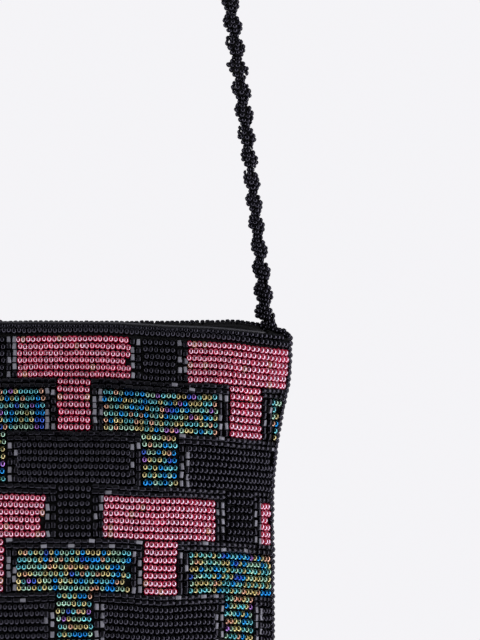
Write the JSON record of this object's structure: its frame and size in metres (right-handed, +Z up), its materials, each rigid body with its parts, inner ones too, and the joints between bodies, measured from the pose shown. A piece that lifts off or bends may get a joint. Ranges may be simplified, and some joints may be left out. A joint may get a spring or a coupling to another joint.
{
  "type": "beaded crossbody bag",
  "caption": "Soft pillow-shaped pouch of bead-covered cloth with an open mouth, a beaded edging and a long beaded rope strap, stored hanging from the strap's top bend.",
  "frame": {"origin": "underside of the strap's top bend, in the middle of the bag's width and in the plane of its seams", "axes": "+Z up along the strap, +X along the mouth, -Y out of the patterned front"},
  "size_m": [0.182, 0.053, 0.8009],
  "materials": {
    "front_beadwork": "glossy",
    "back_beadwork": "glossy",
    "black_beads": "glossy",
    "pink_beads": "lustre",
    "iris_beads": "iris",
    "cut_beads": "satin",
    "backing_cloth": "woven",
    "lining_satin": "satin",
    "thread": "twisted"
  },
  "bodies": {
    "root": {"front_panel": "front_beadwork", "back_panel": "back_beadwork", "front_lining": "lining_satin", "back_lining": "lining_satin", "front_rim": "black_beads", "back_rim": "black_beads", "seam_edging": "black_beads", "strap": "black_beads"}
  },
  "joints": []
}
